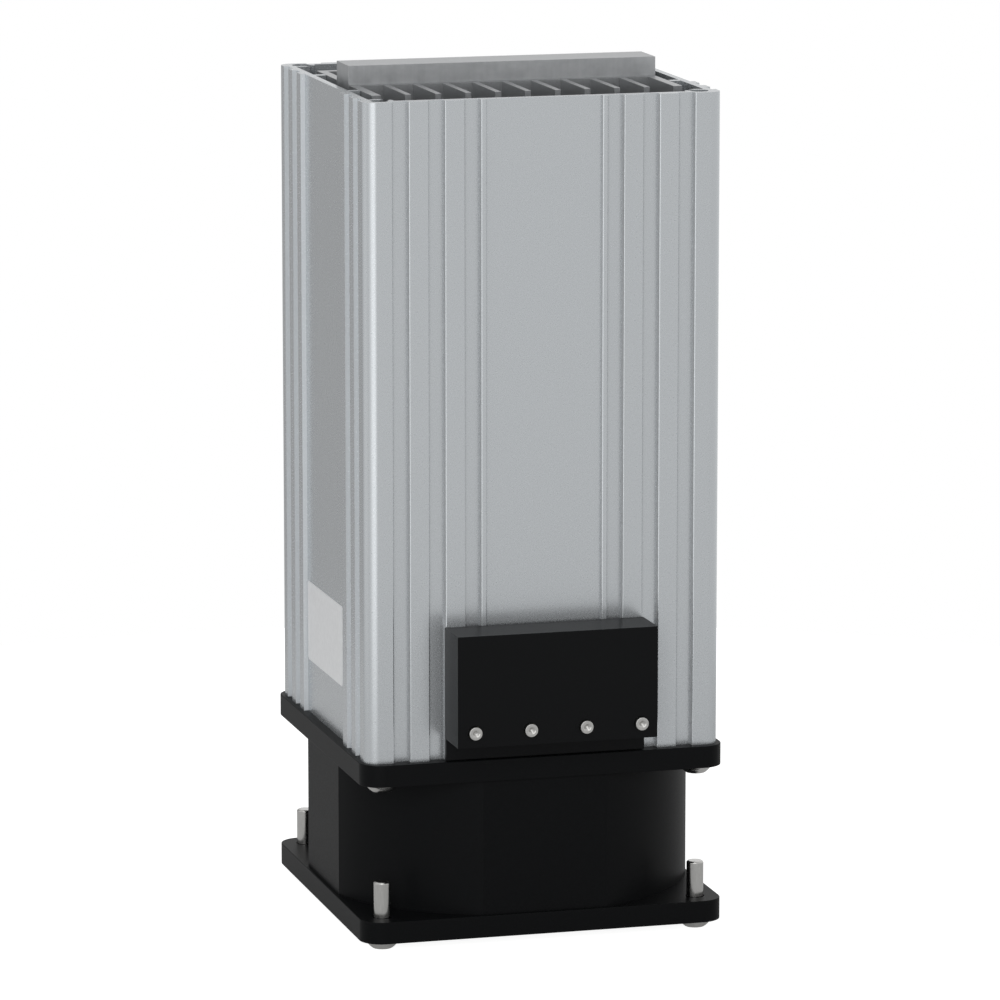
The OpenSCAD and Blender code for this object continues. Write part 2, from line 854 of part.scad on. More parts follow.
module retaining_clip() {
    color("black")
        translate([0, 0, clip_z0 + seat_gap / 2])
            linear_extrude(clip_ring_t - seat_gap)
                difference() {
                    circle(clip_ring_r);
                    circle(groove_r + seat_gap);
                    translate([0, -groove_r / 2])
                        square([2 * clip_ring_r, groove_r]);
                }
}

module bearing_cap() {
    color("darkslategray")
        translate([0, 0, base_z1 - cap_t])
            cylinder(h = cap_t, r = cap_well_r - seat_gap);
}

// Leads from the motor along the front strut and up to the two outer terminals
module fan_leads() {
    strut_lead_x = lead_r + seat_gap;
    strut_lead_z = strut_z1 + lead_r + seat_gap;
    color("mediumblue")
        for (side = [0, 1])
            mirror([side, 0, 0])
                lead([
                    [strut_lead_x, -motor_base_r - seat_gap, strut_lead_z],
                    [strut_lead_x, -fan_lead_y, strut_lead_z],
                    [fan_lead_x, -fan_lead_y, lead_z],
                    [fan_lead_x, -lead_turn_y, lead_z],
                    [outer_pole_x, -wire_y, lead_z],
                    [outer_pole_x, -wire_y, lead_end_z]
                ]);
}

// Screw with a domed head below z = 0 and a shank above it
module pan_screw(length) {
    rim_z = screw_head_rim;
    dome_z = (pow(screw_head_r, 2) - pow(screw_head_flat_r, 2) + pow(rim_z, 2) - pow(screw_head_h, 2))
        / (2 * (screw_head_h - rim_z));
    dome_r = norm([screw_head_flat_r, screw_head_h + dome_z]);
    difference() {
        intersection() {
            translate([0, 0, -screw_head_h])
                cylinder(h = screw_head_h, r = screw_head_r);
            translate([0, 0, dome_z])
                sphere(dome_r);
        }
        translate([0, 0, -screw_head_h - cut])
            cylinder(h = socket_depth + cut, r = socket_r, $fn = 6);
    }
    cylinder(h = length - screw_bevel, r = screw_r);
    translate([0, 0, length - screw_bevel])
        cylinder(h = screw_bevel, r1 = screw_r, r2 = screw_r - screw_bevel);
}

module fan_fixing_screws() {
    color("lightgray")
        translate([0, 0, fan_h - flange_t])
            at_flange_screws()
                pan_screw(flange_t + port_screw_l);
}

module flange_screws() {
    color("lightgray")
        at_flange_screws()
            pan_screw(flange_t + screw_stand);
}

// Countersunk screw along +Y, its head's flat at y = 0
module small_screw(length, gap) {
    rotate([-90, 0, 0]) {
        cylinder(h = small_head_h, r1 = small_head_r + gap, r2 = small_screw_r + gap);
        cylinder(h = length, r = small_screw_r + gap);
    }
}

module terminal_base() {
    plate_z0 = fan_h + base_plate_foot;
    color([0.1, 0.1, 0.11])
        difference() {
            translate([-box_w / 2, -box_back, plate_z0])
                cube([box_w, base_plate_t, box_z1 - plate_z0]);
            translate([0, 0, lead_z])
                slot_y(lead_slot_w, lead_slot_h, -box_back - cut, -housing_front + cut);
            for (x = [-1, 1])
                translate([x * outer_pole_x, -box_back, fixing_z])
                    small_screw(2 * base_plate_t, seat_gap);
        }
}

module terminal_cover() {
    partition_z1 = clamp_top + slide_gap;
    partition_y = box_front - box_wall / 2;
    color([0.1, 0.1, 0.11])
        difference() {
            union() {
                difference() {
                    translate([-box_w / 2, -box_front, box_z0])
                        cube([box_w, box_d, box_h]);
                    translate([-box_w / 2 + box_wall, -clamp_front, box_floor])
                        cube([box_w - 2 * box_wall, box_d, box_h - 2 * box_wall]);
                }
                for (i = [1 : pole_count - 1])
                    translate([(i - pole_count / 2) * pole_pitch - partition_t / 2, -partition_y, box_z0])
                        cube([partition_t, partition_y - box_back, partition_z1 - box_z0]);
            }
            for (x = pole_places) {
                rod([x, -box_front - cut, terminal_z], [x, -clamp_front + cut, terminal_z],
                    terminal_head_r + seat_gap);
                translate([x, -wire_y, box_z0 - cut])
                    cylinder(h = box_wall + 2 * cut, r = wire_entry_r);
            }
        }
}

module terminal_clamps() {
    color("gold")
        for (x = pole_places)
            difference() {
                translate([x - clamp_w / 2, -clamp_front, box_floor])
                    cube([clamp_w, clamp_d, clamp_h]);
                translate([x, -wire_y, box_floor - cut])
                    cylinder(h = clamp_h + 2 * cut, r = clamp_hole_r);
                rod([x, -clamp_front - cut, terminal_z], [x, -wire_y, terminal_z],
                    terminal_shank_r + thread_gap);
            }
}

module terminal_screws() {
    head_l = terminal_head_out + box_wall;
    shank_l = clamp_front - wire_y - clamp_hole_r;
    dimple_r = terminal_head_r - dimple_rim;
    color("lightgray")
        for (x = pole_places)
            translate([x, -box_front - terminal_head_out, terminal_z])
                rotate([-90, 0, 0])
                    difference() {
                        union() {
                            cylinder(h = head_l, r = terminal_head_r);
                            cylinder(h = head_l + shank_l, r = terminal_shank_r);
                        }
                        translate([0, 0, -skim])
                            cylinder(h = dimple_depth + skim, r1 = dimple_r, r2 = dimple_floor_r);
                    }
}

module terminal_fixing_screws() {
    length = base_plate_t + housing_front - inner_d / 2 + small_screw_in;
    color("lightgray")
        for (x = [-1, 1])
            translate([x * outer_pole_x, -box_back, fixing_z])
                small_screw(length, 0);
}

// Rubber plug with a collar on each side of the housing's front wall
module lead_grommet() {
    collar = 0.8;
    color([0.16, 0.16, 0.16])
        translate([0, 0, lead_z])
            difference() {
                union() {
                    slot_y(lead_slot_w - 2 * seat_gap, lead_slot_h - 2 * seat_gap,
                        -housing_front + seat_gap, -inner_d / 2 + collar);
                    slot_y(lead_slot_w + 2 * collar, lead_slot_h + 2 * collar,
                        -inner_d / 2, -inner_d / 2 + collar);
                }
                for (x = [-fan_lead_x, -lead_gap_x, lead_gap_x, fan_lead_x])
                    rod([x, -housing_front - cut, 0], [x, -inner_d / 2 + collar + cut, 0], lead_r + seat_gap);
            }
}

// Clip for a top-hat rail: a plate with a hook over each lip of the rail, drawn outwards and upwards
module rail_clip() {
    lip_u = clip_t + hook_gap;
    hook_u = lip_u + hook_t;
    color("dimgray")
        translate([0, housing_front, clip_z])
            difference() {
                rotate([90, 0, 90])
                    linear_extrude(clip_w, center = true)
                        polygon([
                            [0, hook_inner + hook_t],
                            [hook_u, hook_inner + hook_t],
                            [hook_u, hook_inner - hook_reach],
                            [lip_u, hook_inner - hook_reach],
                            [lip_u, hook_inner],
                            [clip_t, hook_inner],
                            [clip_t, -hook_inner],
                            [lip_u, -hook_inner],
                            [lip_u, -hook_inner + hook_reach],
                            [hook_u, -hook_inner],
                            [hook_u, -hook_inner - hook_t - release_l],
                            [lip_u, -hook_inner - hook_t - release_l],
                            [lip_u, -hook_inner - hook_t],
                            [0, -hook_inner - hook_t]
                        ]);
                for (z = [-1, 1])
                    translate([0, clip_t, z * clip_screw_pitch / 2])
                        mirror([0, 1, 0])
                            small_screw(clip_t + cut, seat_gap);
            }
}

module rail_clip_screws() {
    length = clip_t + housing_front - inner_d / 2 + small_screw_in;
    color("lightgray")
        for (z = [-1, 1])
            translate([0, housing_front + clip_t, clip_z + z * clip_screw_pitch / 2])
                mirror([0, 1, 0])
                    small_screw(length, 0);
}

housing_profile();
heat_sink_front();
heat_sink_rear();
heater_tube();
insulation_sleeve();
electrode_plates();
heating_stones();
heater_end_plug();
heater_leads();
thermal_cutout();
fan_frame();
impeller();
rotor_cup();
rotor_ring();
shaft();
stator_core();
stator_coils();
bearings();
retaining_clip();
bearing_cap();
fan_leads();
fan_fixing_screws();
flange_screws();
terminal_base();
terminal_cover();
terminal_clamps();
terminal_screws();
terminal_fixing_screws();
lead_grommet();
rail_clip();
rail_clip_screws();
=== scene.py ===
"""Looks of a cabinet fan heater: finishes, rounded edges, a blank sticker, the studio and the camera."""

import json
import math

import bmesh
import bpy
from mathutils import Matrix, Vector

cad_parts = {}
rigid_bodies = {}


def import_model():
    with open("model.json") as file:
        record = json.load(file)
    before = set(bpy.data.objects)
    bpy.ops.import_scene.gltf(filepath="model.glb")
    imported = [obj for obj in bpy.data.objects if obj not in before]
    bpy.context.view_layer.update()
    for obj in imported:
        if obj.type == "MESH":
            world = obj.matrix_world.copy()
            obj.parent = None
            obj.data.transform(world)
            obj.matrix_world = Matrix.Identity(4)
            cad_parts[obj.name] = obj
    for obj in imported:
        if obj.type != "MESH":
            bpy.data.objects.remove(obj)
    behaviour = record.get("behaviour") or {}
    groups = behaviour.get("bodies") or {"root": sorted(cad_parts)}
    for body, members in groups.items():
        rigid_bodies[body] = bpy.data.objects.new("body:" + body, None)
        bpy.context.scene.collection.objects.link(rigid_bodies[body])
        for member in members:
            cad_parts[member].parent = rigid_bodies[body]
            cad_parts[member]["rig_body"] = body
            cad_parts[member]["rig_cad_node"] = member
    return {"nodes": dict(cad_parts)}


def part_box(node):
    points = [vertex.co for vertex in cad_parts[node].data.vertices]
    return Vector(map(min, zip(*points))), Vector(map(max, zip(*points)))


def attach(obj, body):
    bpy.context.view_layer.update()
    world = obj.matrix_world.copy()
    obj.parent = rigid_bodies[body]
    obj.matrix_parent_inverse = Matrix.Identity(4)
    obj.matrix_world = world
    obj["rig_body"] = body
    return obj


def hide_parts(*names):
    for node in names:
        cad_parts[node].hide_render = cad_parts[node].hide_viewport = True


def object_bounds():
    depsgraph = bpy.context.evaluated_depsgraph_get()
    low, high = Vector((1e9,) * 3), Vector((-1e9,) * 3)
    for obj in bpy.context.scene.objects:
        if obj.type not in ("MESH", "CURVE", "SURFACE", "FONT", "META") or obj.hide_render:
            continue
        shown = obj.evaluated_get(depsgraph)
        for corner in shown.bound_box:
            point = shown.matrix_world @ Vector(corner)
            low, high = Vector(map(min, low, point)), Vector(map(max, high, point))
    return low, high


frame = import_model()
cad_low, cad_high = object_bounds()

MM = 0.001

# Merging and rounding of the pieces whose edges show
SAME_POINT = 0.002 * MM
FLAT_ANGLE = math.radians(0.4)
CREASE_ANGLE = math.radians(17)
SHARP_ANGLE = math.radians(32)
SMOOTH_ANGLE = math.radians(48)
EDGE_STEPS = 2

# Largest rounding of the edges of each of these pieces, in millimetres
EDGE_ROUNDING = {
    "housing_profile": 0.12,
    "heat_sink_front": 0.06,
    "heat_sink_rear": 0.06,
    "heater_tube": 0.05,
    "fan_frame": 0.15,
    "terminal_cover": 0.15,
    "terminal_base": 0.1,
    "flange_screws": 0.08,
    "fan_fixing_screws": 0.08,
    "terminal_screws": 0.1,
    "rail_clip": 0.25,
    "impeller": 0.2,
}

# Larger rounding of the upright edges on a piece's front and rear planes, in millimetres
UPRIGHT_ROUNDING = {"housing_profile": 0.25}
UPRIGHT_STEPS = 3
UPRIGHT_SHARE = 0.999
OUTER_PLANE = 0.05 * MM

# Walls of the housing's upright grooves; the front and rear ones get a tint of painted shade
GROOVE_REACH = 1.6 * MM
WALL_FACING = 0.75
PAINTED_SHADE_MARK = "painted_shade_mark"
# Painted shade: a darker tint on the front and rear groove walls, where little light reaches
PAINTED_SHADE_TINT = (0.35, 0.36, 0.37, 1)
MATT_WALLS = "matt_walls"
MATT_WALL_METAL = 0.15

# Sizes of the sticker, which is the only new piece
STICKER_Y = (-13.8 * MM, 17.0 * MM)
STICKER_Z = (50.6 * MM, 68.1 * MM)
STICKER_THICK = 0.12 * MM
STICKER_CORNER = 0.7 * MM
STICKER_CORNER_STEPS = 6
SIDE_FIELD_DEPTH = 1.0 * MM

# Part of a noise pattern's range that a finish uses
PATTERN_LOW = 0.3
PATTERN_HIGH = 0.7

# Lines that the extruding die leaves, and the relief of drawn aluminium, in millimetres
DIE_LINE = 0.6
DIE_LINE_STRETCH = (1, 1, 400)
DRAWN_RELIEF = 0.003

# Turns of the motor's winding
WIRE_SCALE = 0.35 / MM
WIRE_WAVER = 0.6
WIRE_METAL = 0.8
WIRE_ROUGHNESS = 0.35
WIRE_RELIEF = 0.08
WIRE_RELIEF_STRENGTH = 0.8

# Sockets of a mix node: its share, its two numbers, its two colours and its results
MIX_SHARE = 0
MIX_NUMBERS = (2, 3)
MIX_COLOURS = (6, 7)
MIXED_NUMBER = 0
MIXED_COLOUR = 2

# Floor and surround of the studio
FLOOR_RADIUS = 0.3
FLOOR_SIDES = 96
FLOOR_COLOUR = (0.5, 0.5, 0.5, 1)
FLOOR_GLOW = 0.92
FLOOR_MIRROR = 0.2
SURROUND_LIGHT = 0.42
PANEL_LEVEL = 1.4

# Brightness of the panels by their azimuth in degrees from the front, rightwards
PANEL_RING = (
    (-180, 0.5), (-168, 0.3), (-150, 0.25), (-115, 0.56), (-85, 0.56), (-70, 0.45), (-48, 0.62), (-40, 0.95),
    (-8, 1.08), (4, 0.52), (15, 0.47), (75, 0.52), (105, 0.58), (135, 0.62), (165, 0.62), (180, 0.5))

# Lamps: azimuth and elevation in degrees, distance, width and height in metres, power in watts
LAMP_AIM = Vector((0, 0, 0.09))
SOFTBOXES = {
    "front_softbox": (-22, 14, 1.5, 0.55, 1.2, 13),
    "right_softbox": (30, 12, 1.5, 0.8, 1.0, 2),
    "left_softbox": (-95, 10, 1.3, 0.6, 1.0, 3),
    "rear_softbox": (170, 25, 1.4, 0.9, 0.9, 5),
}

# View of the photograph
VIEW_AZIMUTH = math.radians(-15.480)
VIEW_ELEVATION = math.radians(10.445)
VIEW_DISTANCE = 1336.319 * MM
VIEW_TARGET = Vector((0.781, 0.0, 87.019)) * MM
VIEW_LENS = 221.434
SENSOR_WIDTH = 36.0

# Finish of each node
NODE_FINISHES = {
    "housing_profile": "anodised_aluminium",
    "heat_sink_front": "extruded_aluminium",
    "heat_sink_rear": "extruded_aluminium",
    "heater_tube": "bar_aluminium",
    "insulation_sleeve": "insulating_film",
    "electrode_plates": "electrode_aluminium",
    "heating_stones": "heating_ceramic",
    "heater_end_plug": "silicone_plug",
    "heater_leads": "heater_lead_insulation",
    "thermal_cutout": "cutout_plastic",
    "fan_frame": "black_painted_metal",
    "impeller": "impeller_plastic",
    "rotor_cup": "motor_steel",
    "rotor_ring": "motor_steel",
    "shaft": "steel_screws",
    "stator_core": "motor_steel",
    "stator_coils": "copper_wire",
    "bearings": "bronze",
    "retaining_clip": "spring_steel",
    "bearing_cap": "cap_plastic",
    "fan_leads": "fan_lead_insulation",
    "fan_fixing_screws": "steel_screws",
    "flange_screws": "steel_screws",
    "terminal_base": "black_plastic",
    "terminal_cover": "black_plastic",
    "terminal_clamps": "brass",
    "terminal_screws": "steel_screws",
    "terminal_fixing_screws": "steel_screws",
    "lead_grommet": "grommet_rubber",
    "rail_clip": "spring_steel",
    "rail_clip_screws": "steel_screws",
}

# Finishes by their names
finishes = {}


def new_finish(name):
    """Adds a node finish and gives its tree, its shader and the place of each point on the piece."""
    finish = bpy.data.materials.new(name)
    finish.use_nodes = True
    finishes[name] = finish
    tree = finish.node_tree
    place = tree.nodes.new("ShaderNodeTexCoord").outputs["Object"]
    return tree, tree.nodes["Principled BSDF"], place


def grain(tree, place, spot, stretch=(1, 1, 1), detail=2):
    """Noise with spots about this many millimetres across, drawn out along the axes by stretch."""
    scaled = tree.nodes.new("ShaderNodeMapping")
    scaled.inputs["Scale"].default_value = [1 / (spot * factor * MM) for factor in stretch]
    noise = tree.nodes.new("ShaderNodeTexNoise")
    noise.inputs["Scale"].default_value = 1
    noise.inputs["Detail"].default_value = detail
    tree.links.new(place, scaled.inputs["Vector"])
    tree.links.new(scaled.outputs["Vector"], noise.inputs["Vector"])
    return noise.outputs["Fac"]


def mingled(tree, first, second, share):
    """Two patterns laid over each other, the second with this share."""
    mix = tree.nodes.new("ShaderNodeMix")
    mix.inputs[MIX_SHARE].default_value = share
    for pattern, socket in zip((first, second), MIX_NUMBERS):
        tree.links.new(pattern, mix.inputs[socket])
    return mix.outputs[MIXED_NUMBER]


def spread(tree, pattern, low, high):
    """The middle of a pattern's range turned into values from low to high."""
    ranged = tree.nodes.new("ShaderNodeMapRange")
    ranged.inputs["From Min"].default_value = PATTERN_LOW
    ranged.inputs["From Max"].default_value = PATTERN_HIGH
    ranged.inputs["To Min"].default_value = low
    ranged.inputs["To Max"].default_value = high
    tree.links.new(pattern, ranged.inputs["Value"])
    return ranged.outputs["Result"]


def tint(tree, pattern, dark, light):
    """The middle of a pattern's range turned into colours from dark to light."""
    ramp = tree.nodes.new("ShaderNodeValToRGB")
    low, high = ramp.color_ramp.elements
    low.position = PATTERN_LOW
    low.color = (*dark, 1)
    high.position = PATTERN_HIGH
    high.color = (*light, 1)
    tree.links.new(pattern, ramp.inputs["Fac"])
    return ramp.outputs["Color"]


def relief(tree, shader, pattern, height, strength):
    """A fine unevenness of the surface, its height in millimetres."""
    bump = tree.nodes.new("ShaderNodeBump")
    bump.inputs["Distance"].default_value = height * MM
    bump.inputs["Strength"].default_value = strength
    tree.links.new(pattern, bump.inputs["Height"])
    tree.links.new(bump.outputs["Normal"], shader.inputs["Normal"])


def grained_finish(name, dark, light, rough, spot, metallic=0.0, specular=0.5,
                   stretch=(1, 1, 1), height=0.01, strength=0.3):
    """A finish whose colour, roughness and relief all follow one grain."""
    tree, shader, place = new_finish(name)
    pattern = grain(tree, place, spot, stretch)
    tree.links.new(tint(tree, pattern, dark, light), shader.inputs["Base Color"])
    tree.links.new(spread(tree, pattern, *rough), shader.inputs["Roughness"])
    shader.inputs["Metallic"].default_value = metallic
    shader.inputs["Specular IOR Level"].default_value = specular
    relief(tree, shader, pattern, height, strength)


def face_mark(tree, name):
    """The value that the mark of this name has on each face."""
    mark = tree.nodes.new("ShaderNodeAttribute")
    mark.attribute_name = name
    return mark.outputs["Fac"]


def with_painted_shade(tree, colour):
    """A colour darkened by painted shade on the faces that carry the mark of the shaded groove walls."""
    shade = tree.nodes.new("ShaderNodeMix")
    shade.data_type = "RGBA"
    plain, dark = MIX_COLOURS
    tree.links.new(face_mark(tree, PAINTED_SHADE_MARK), shade.inputs[MIX_SHARE])
    tree.links.new(colour, shade.inputs[plain])
    shade.inputs[dark].default_value = PAINTED_SHADE_TINT
    return shade.outputs[MIXED_COLOUR]


def dull_walls(tree, metallic, shader):
    """Less shine on the faces with the mark of matt walls."""
    polish = tree.nodes.new("ShaderNodeMapRange")
    polish.inputs["To Min"].default_value = metallic
    polish.inputs["To Max"].default_value = MATT_WALL_METAL
    tree.links.new(face_mark(tree, MATT_WALLS), polish.inputs["Value"])
    tree.links.new(polish.outputs["Result"], shader.inputs["Metallic"])


def drawn_aluminium(name, dark, light, rough, line_share, speck, metallic, strength=0.12, grooved=False):
    """Aluminium with fine specks and the upright lines that the extruding die leaves."""
    tree, shader, place = new_finish(name)
    specks = grain(tree, place, speck, detail=4)
    lines = grain(tree, place, DIE_LINE, DIE_LINE_STRETCH, detail=3)
    pattern = mingled(tree, specks, lines, line_share)
    colour = tint(tree, pattern, dark, light)
    shader.inputs["Metallic"].default_value = metallic
    if grooved:
        # Painted shade on the front and rear groove walls, and less shine on all groove walls
        colour = with_painted_shade(tree, colour)
        dull_walls(tree, metallic, shader)
    tree.links.new(colour, shader.inputs["Base Color"])
    tree.links.new(spread(tree, pattern, *rough), shader.inputs["Roughness"])
    relief(tree, shader, pattern, DRAWN_RELIEF, strength)


def wound_wire(name, dark, light):
    """Enamelled copper wire laid turn by turn round a pole."""
    tree, shader, place = new_finish(name)
    turns = tree.nodes.new("ShaderNodeTexWave")
    turns.wave_type = "RINGS"
    turns.rings_direction = "Z"
    turns.inputs["Scale"].default_value = WIRE_SCALE
    turns.inputs["Distortion"].default_value = WIRE_WAVER
    tree.links.new(place, turns.inputs["Vector"])
    pattern = turns.outputs["Fac"]
    tree.links.new(tint(tree, pattern, dark, light), shader.inputs["Base Color"])
    shader.inputs["Metallic"].default_value = WIRE_METAL
    shader.inputs["Roughness"].default_value = WIRE_ROUGHNESS
    relief(tree, shader, pattern, WIRE_RELIEF, WIRE_RELIEF_STRENGTH)


# Aluminium of the housing, the heat sinks and the heating bar
drawn_aluminium(
    "anodised_aluminium", (0.555, 0.58, 0.60), (0.57, 0.595, 0.615), (0.25, 0.28), line_share=0.1, speck=0.3,
    metallic=0.8, strength=0.03, grooved=True)
drawn_aluminium(
    "extruded_aluminium", (0.36, 0.37, 0.38), (0.41, 0.42, 0.43), (0.28, 0.36), line_share=0.15, speck=0.4,
    metallic=0.7)
drawn_aluminium(
    "bar_aluminium", (0.38, 0.39, 0.40), (0.46, 0.47, 0.48), (0.3, 0.42), line_share=0.3, speck=2.0,
    metallic=0.6)

# Black pieces of the fan and the terminal box
grained_finish(
    "black_painted_metal", (0.003, 0.0032, 0.0035), (0.0045, 0.0048, 0.0052), (0.38, 0.46), 0.25,
    specular=0.07, strength=0.15)
grained_finish(
    "black_plastic", (0.003, 0.0032, 0.0035), (0.0045, 0.0048, 0.0052), (0.3, 0.38), 0.18,
    specular=0.095, height=0.008, strength=0.15)
grained_finish(
    "impeller_plastic", (0.014, 0.014, 0.015), (0.02, 0.02, 0.021), (0.35, 0.45), 0.4,
    specular=0.35, strength=0.2)
grained_finish("cap_plastic", (0.03, 0.03, 0.033), (0.045, 0.045, 0.05), (0.4, 0.55), 0.4)
grained_finish("grommet_rubber", (0.018, 0.018, 0.018), (0.028, 0.028, 0.028), (0.6, 0.75), 0.3)

# Screws, clip, clamps and motor
grained_finish(
    "steel_screws", (0.54, 0.535, 0.52), (0.60, 0.595, 0.58), (0.17, 0.22), 0.3,
    metallic=1.0, stretch=(1, 1, 6), height=0.001, strength=0.02)
grained_finish(
    "spring_steel", (0.40, 0.41, 0.42), (0.54, 0.55, 0.56), (0.28, 0.42), 0.5,
    metallic=1.0, stretch=(1, 1, 10))
grained_finish(
    "motor_steel", (0.30, 0.31, 0.32), (0.42, 0.43, 0.45), (0.3, 0.45), 0.5,
    metallic=1.0, stretch=(6, 6, 1))
grained_finish(
    "brass", (0.55, 0.41, 0.15), (0.68, 0.53, 0.24), (0.25, 0.38), 0.4,
    metallic=1.0, stretch=(1, 8, 1))
grained_finish("bronze", (0.30, 0.19, 0.09), (0.45, 0.31, 0.16), (0.45, 0.6), 0.2, metallic=0.9)
wound_wire("copper_wire", (0.22, 0.07, 0.025), (0.60, 0.25, 0.10))

# Inside of the heating bar, leads and cut-out
grained_finish(
    "insulating_film", (0.55, 0.28, 0.05), (0.70, 0.42, 0.10), (0.12, 0.2), 3.0, height=0.02)
grained_finish(
    "electrode_aluminium", (0.58, 0.58, 0.59), (0.68, 0.68, 0.69), (0.28, 0.4), 0.5,
    metallic=1.0, stretch=(1, 1, 14))
grained_finish("heating_ceramic", (0.20, 0.20, 0.21), (0.30, 0.30, 0.31), (0.5, 0.7), 0.3)
grained_finish("silicone_plug", (0.62, 0.60, 0.53), (0.72, 0.70, 0.62), (0.5, 0.65), 0.8)
grained_finish("heater_lead_insulation", (0.34, 0.03, 0.022), (0.44, 0.05, 0.038), (0.45, 0.6), 0.6)
grained_finish("fan_lead_insulation", (0.015, 0.03, 0.12), (0.025, 0.045, 0.17), (0.42, 0.56), 0.6)
grained_finish("cutout_plastic", (0.46, 0.37, 0.24), (0.56, 0.46, 0.31), (0.25, 0.38), 0.7)

# Sticker
grained_finish(
    "sticker_film", (0.70, 0.71, 0.72), (0.76, 0.77, 0.78), (0.32, 0.42), 1.2, height=0.006, strength=0.2)


def give_finish(piece, finish):
    """Puts one finish on the whole of a piece."""
    piece.data.materials.clear()
    piece.data.materials.append(finishes[finish])


for node, finish in NODE_FINISHES.items():
    give_finish(frame["nodes"][node], finish)


# Pieces whose edges show
def select_only(piece):
    """Makes a piece the only selected one, and the active one."""
    bpy.ops.object.select_all(action="DESELECT")
    piece.select_set(True)
    bpy.context.view_layer.objects.active = piece


def is_sharp(border):
    """True for an edge that stands out sharply."""
    return border.is_convex and border.calc_face_angle(0) > SHARP_ANGLE


def merge_faces():
    """Joins the loose triangles in edit mode to flat faces and marks the creases between them."""
    bpy.ops.mesh.select_mode(type="EDGE")
    bpy.ops.mesh.select_all(action="SELECT")
    bpy.ops.mesh.remove_doubles(threshold=SAME_POINT)
    bpy.ops.mesh.dissolve_limited(angle_limit=FLAT_ANGLE)
    bpy.ops.mesh.select_all(action="DESELECT")
    bpy.ops.mesh.edges_select_sharp(sharpness=CREASE_ANGLE)
    bpy.ops.mesh.mark_sharp()
    bpy.ops.mesh.select_all(action="DESELECT")


def round_upright(piece, edge):
    """Rounds the sharp upright edges on the front and rear planes of a piece in edit mode."""
    mesh = bmesh.from_edit_mesh(piece.data)
    reach_y = max(point.co.y for point in mesh.verts) - OUTER_PLANE
    for border in mesh.edges:
        start, end = (point.co for point in border.verts)
        upright = abs(end.z - start.z) > UPRIGHT_SHARE * border.calc_length()
        border.select_set(upright and abs(start.y) > reach_y and is_sharp(border))
    bpy.ops.mesh.bevel(offset=edge * MM, segments=UPRIGHT_STEPS, affect="EDGES")
    bpy.ops.mesh.select_all(action="DESELECT")


def round_edges(piece, edge):
    """Rounds all sharp edges of a piece in edit mode, as far as they leave each other room."""
    for border in bmesh.from_edit_mesh(piece.data).edges:
        border.select_set(is_sharp(border))
    bpy.ops.mesh.bevel(offset=edge * MM, segments=EDGE_STEPS, affect="EDGES", clamp_overlap=True)


def rounded_copy(node):
    """A merged copy of a CAD node with its outer edges rounded, in place of the node."""
    select_only(frame["nodes"][node])
    bpy.ops.object.duplicate()
    piece = bpy.context.view_layer.objects.active
    piece.name = node + "_finished"
    body = piece["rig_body"]
    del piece["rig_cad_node"]
    bpy.ops.object.mode_set(mode="EDIT")
    merge_faces()
    if node in UPRIGHT_ROUNDING:
        round_upright(piece, UPRIGHT_ROUNDING[node])
    round_edges(piece, EDGE_ROUNDING[node])
    bpy.ops.object.mode_set(mode="OBJECT")
    bpy.ops.object.shade_smooth_by_angle(angle=SMOOTH_ANGLE, keep_sharp_edges=True)
    flat_faces = piece.modifiers.new("flat_faces", "WEIGHTED_NORMAL")
    flat_faces.keep_sharp = True
    select_only(piece)
    bpy.ops.object.modifier_apply(modifier=flat_faces.name)
    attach(piece, body)
    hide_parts(node)
    finish = NODE_FINISHES[node]
    give_finish(piece, finish)
    return piece


def mark_groove_walls(housing):
    """Marks the walls of the upright grooves: all matt, and with painted shade in the front and rear."""
    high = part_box("housing_profile")[1]
    dark = []
    matt = []
    for face in housing.data.polygons:
        near_side = abs(face.center.x) > high.x - GROOVE_REACH
        near_front = abs(face.center.y) > high.y - GROOVE_REACH
        front_wall = near_front and not near_side and abs(face.normal.x) > WALL_FACING
        side_wall = near_side and not near_front and abs(face.normal.y) > WALL_FACING
        # Front and rear groove walls get a tint of painted shade
        dark.append(front_wall)
        matt.append(front_wall or side_wall)
    for name, values in ((PAINTED_SHADE_MARK, dark), (MATT_WALLS, matt)):
        housing.data.attributes.new(name, "FLOAT", "FACE").data.foreach_set("value", values)


finished = {node: rounded_copy(node) for node in EDGE_ROUNDING}
mark_groove_walls(finished["housing_profile"])


# Sticker
def blank_sticker():
    """A thin plain sticker with round corners on the housing's left field."""
    field_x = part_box("housing_profile")[0].x + SIDE_FIELD_DEPTH
    low = Vector((field_x - STICKER_THICK, STICKER_Y[0], STICKER_Z[0]))
    high = Vector((field_x, STICKER_Y[1], STICKER_Z[1]))
    bpy.ops.object.select_all(action="DESELECT")
    bpy.ops.mesh.primitive_cube_add(size=1, location=(low + high) / 2)
    sticker = bpy.context.view_layer.objects.active
    sticker.name = "blank_sticker"
    sticker.scale = high - low
    bpy.ops.object.transform_apply(location=True, rotation=True, scale=True)
    bpy.ops.object.mode_set(mode="EDIT")
    bpy.ops.mesh.select_mode(type="EDGE")
    bpy.ops.mesh.select_all(action="DESELECT")
    for border in bmesh.from_edit_mesh(sticker.data).edges:
        start, end = (point.co for point in border.verts)
        border.select_set(abs(start.x - end.x) > STICKER_THICK / 2)
    bpy.ops.mesh.bevel(offset=STICKER_CORNER, segments=STICKER_CORNER_STEPS, affect="EDGES")
    bpy.ops.object.mode_set(mode="OBJECT")
    bpy.ops.object.shade_smooth_by_angle(angle=SMOOTH_ANGLE)
    give_finish(sticker, "sticker_film")
    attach(sticker, "heater")


blank_sticker()


# Studio
def math_node(tree, operation, *values):
    """The result of an operation on numbers and sockets."""
    step = tree.nodes.new("ShaderNodeMath")
    step.operation = operation
    for socket, value in zip(step.inputs, values):
        if isinstance(value, bpy.types.NodeSocket):
            tree.links.new(value, socket)
        else:
            socket.default_value = value
    return step.outputs[0]


